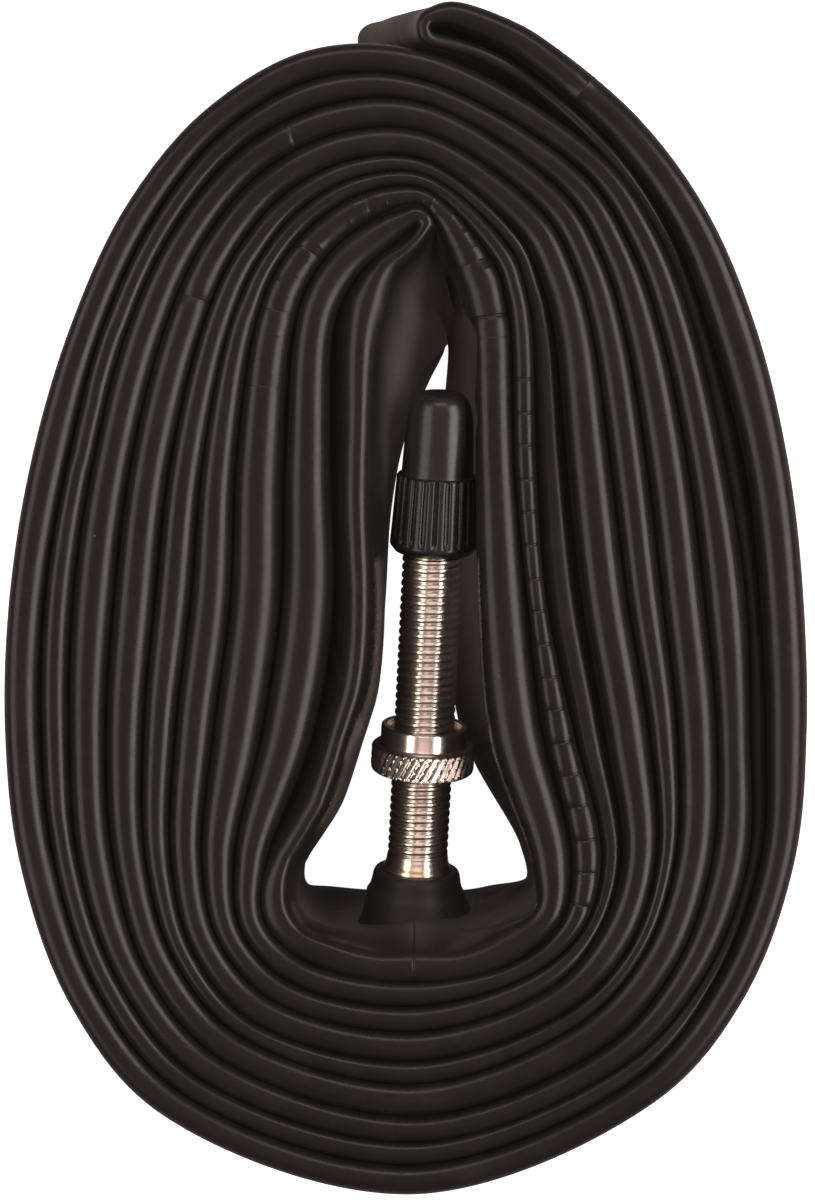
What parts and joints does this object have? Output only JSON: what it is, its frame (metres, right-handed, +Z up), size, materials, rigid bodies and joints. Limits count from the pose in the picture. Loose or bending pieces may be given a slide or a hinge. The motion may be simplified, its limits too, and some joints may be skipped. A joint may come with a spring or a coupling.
{
  "type": "bicycle inner tube",
  "caption": "Road bicycle inner tube, deflated and rolled up as a double strand, with a threaded Presta valve, knurled rim nut, ribbed dust cap and removable core.",
  "frame": {"origin": "on the resting plane, under the middle of the roll's box", "axes": "+Z up, the roll lies on its side; +Y along the roll's long side, the way the valve points; +X to the right of the valve"},
  "size_m": [0.075, 0.1146, 0.03],
  "materials": {
    "butyl": "satin charcoal butyl with soft moulded sheen",
    "butyl_patch": "satin moulded butyl",
    "nickel": "nickel plate over brass, warm bright",
    "brass": "turned brass",
    "gasket": "matt moulded rubber",
    "seal": "matt moulded rubber",
    "cap_plastic": "glossy black moulded plastic"
  },
  "bodies": {
    "tube": {"tube_body": "butyl", "valve_patch": "butyl_patch", "valve_stem": "nickel"},
    "rim_nut": {"rim_nut": "nickel"},
    "core": {"core_body": "brass", "core_gasket": "gasket"},
    "core_pin": {"core_pin": "brass", "core_seal": "seal"},
    "core_nut": {"core_nut": "brass"},
    "cap": {"dust_cap": "cap_plastic"}
  },
  "joints": [
    {"name": "rim_nut_travel", "type": "slide", "parent": "tube", "child": "rim_nut", "axis": [0.0492, 0.9711, 0.2334], "range_m": [-0.0084, 0.0155]},
    {"name": "core_unscrew", "type": "slide", "parent": "tube", "child": "core", "axis": [0.0492, 0.9711, 0.2334], "range_m": [0, 0.0045]},
    {"name": "cap_lift", "type": "slide", "parent": "core", "child": "cap", "axis": [0.0492, 0.9711, 0.2334], "range_m": [0, 0.0072]},
    {"name": "core_nut_turn", "type": "hinge", "parent": "core", "child": "core_nut", "pos_m": [0.00308, 0.01312, 0.0254], "axis": [0.0492, 0.9711, 0.2334], "range_deg": [0, 1600]},
    {"name": "core_pin_drop", "type": "slide", "parent": "core", "child": "core_pin", "axis": [0.0492, 0.9711, 0.2334], "range_m": [-0.002, 0]}
  ],
  "couplings": [
    {"joint": "core_nut_turn", "follows": "core_pin_drop", "rad_per_m": -13963}
  ]
}
